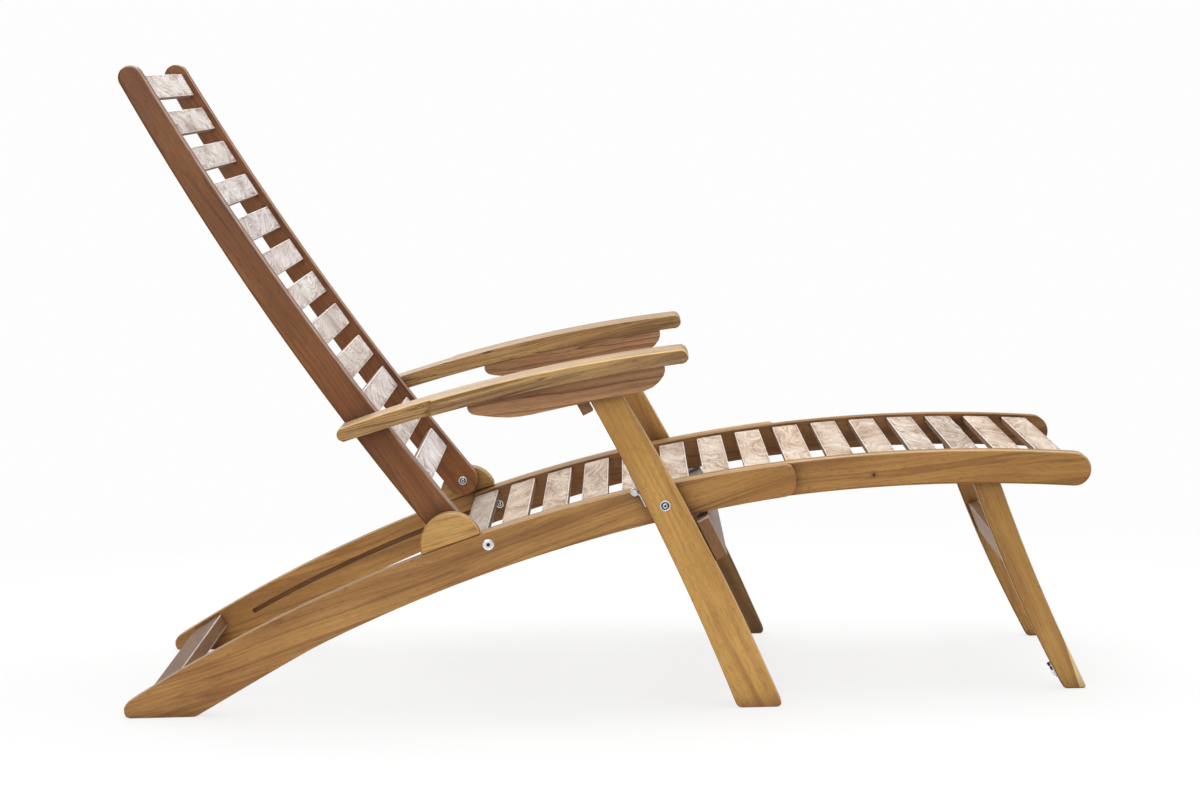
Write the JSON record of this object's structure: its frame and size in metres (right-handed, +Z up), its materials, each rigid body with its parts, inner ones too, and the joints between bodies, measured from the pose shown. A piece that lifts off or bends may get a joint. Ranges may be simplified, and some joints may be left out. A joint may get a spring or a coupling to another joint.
{
  "type": "folding deck chair",
  "caption": "Folding wooden deck chair with slatted back, curved armrests and a long slatted seat and footrest that slides back under the backrest for storage.",
  "frame": {"origin": "on the ground, at the middle of the open chair in length and in width", "axes": "+X towards the footrest, +Y towards the left arm of a seated person, +Z up"},
  "size_m": [1.4948, 0.62, 1.0002],
  "materials": {
    "oiled_wood": "oiled hardwood, golden brown",
    "dark_wood": "oiled hardwood, red-brown",
    "light_wood": "oiled hardwood, yellow-brown",
    "pale_wood": "hardwood, pale weathered face",
    "steel": "bright stainless steel"
  },
  "bodies": {
    "base": {"base_rail_left": "oiled_wood", "base_rail_right": "oiled_wood", "rear_stretcher": "pale_wood", "cheek_left": "light_wood", "cheek_right": "light_wood", "leg_pivot_bolt_left": "steel", "leg_pivot_bolt_right": "steel", "back_pivot_bolt_left": "steel", "back_pivot_bolt_right": "steel"},
    "backrest": {"back_rail_left": "dark_wood", "back_rail_right": "dark_wood", "back_slat_01": "pale_wood", "back_slat_02": "pale_wood", "back_slat_03": "pale_wood", "back_slat_04": "pale_wood", "back_slat_05": "pale_wood", "back_slat_06": "pale_wood", "back_slat_07": "pale_wood", "back_slat_08": "pale_wood", "back_slat_09": "pale_wood", "back_slat_10": "pale_wood", "back_slat_11": "pale_wood", "back_slat_12": "pale_wood"},
    "seat_frame": {"seat_rail_left": "oiled_wood", "seat_rail_right": "oiled_wood", "seat_slat_01": "pale_wood", "seat_slat_02": "pale_wood", "seat_slat_03": "pale_wood", "seat_slat_04": "pale_wood", "seat_slat_05": "pale_wood", "seat_slat_06": "pale_wood", "seat_slat_07": "pale_wood", "seat_slat_08": "pale_wood", "seat_slat_09": "pale_wood", "seat_slat_10": "pale_wood", "seat_slat_11": "pale_wood", "seat_slat_12": "pale_wood", "seat_slat_13": "pale_wood", "seat_slat_14": "pale_wood", "seat_slat_15": "pale_wood", "guide_bolt_left": "steel", "guide_bolt_right": "steel"},
    "front_legs": {"front_leg_left": "oiled_wood", "front_leg_right": "oiled_wood", "front_leg_stretcher": "oiled_wood"},
    "arm_unit_left": {"arm_left": "oiled_wood", "arm_apron_outer_left": "oiled_wood", "arm_apron_inner_left": "oiled_wood", "arm_hinge_pin_left": "steel", "arm_tail_pin_left": "steel"},
    "arm_unit_right": {"arm_right": "oiled_wood", "arm_apron_outer_right": "oiled_wood", "arm_apron_inner_right": "oiled_wood", "arm_hinge_pin_right": "steel", "arm_tail_pin_right": "steel"},
    "footrest_legs": {"footrest_leg_left": "oiled_wood", "footrest_leg_right": "oiled_wood", "footrest_stretcher": "pale_wood", "footrest_pivot_bolt_left": "steel", "footrest_pivot_bolt_right": "steel"}
  },
  "joints": [
    {"name": "back_fold", "type": "hinge", "parent": "base", "child": "backrest", "pos_m": [-0.24847, 0, 0.282], "axis": [0, 1, 0], "range_deg": [0, 102.4]},
    {"name": "front_legs_fold", "type": "hinge", "parent": "base", "child": "front_legs", "pos_m": [0.08853, 0, 0.31], "axis": [0, 1, 0], "range_deg": [0, 102.4]},
    {"name": "arm_left_fold", "type": "hinge", "parent": "front_legs", "child": "arm_unit_left", "pos_m": [-0.01647, 0, 0.478], "axis": [0, 1, 0], "range_deg": [-102.4, 0]},
    {"name": "arm_right_fold", "type": "hinge", "parent": "front_legs", "child": "arm_unit_right", "pos_m": [-0.01647, 0, 0.478], "axis": [0, 1, 0], "range_deg": [-102.4, 0]},
    {"name": "seat_frame_slide", "type": "hinge", "parent": "base", "child": "seat_frame", "pos_m": [0.52753, 0, -2.08], "axis": [0, -1, 0], "range_deg": [0, 9.6]},
    {"name": "footrest_legs_fold", "type": "hinge", "parent": "seat_frame", "child": "footrest_legs", "pos_m": [0.58253, 0, 0.34208], "axis": [0, 1, 0], "range_deg": [0, 107.3]}
  ],
  "couplings": [
    {"joint": "front_legs_fold", "follows": "back_fold", "ratio": 1},
    {"joint": "arm_left_fold", "follows": "back_fold", "ratio": -1},
    {"joint": "arm_right_fold", "follows": "back_fold", "ratio": -1}
  ]
}
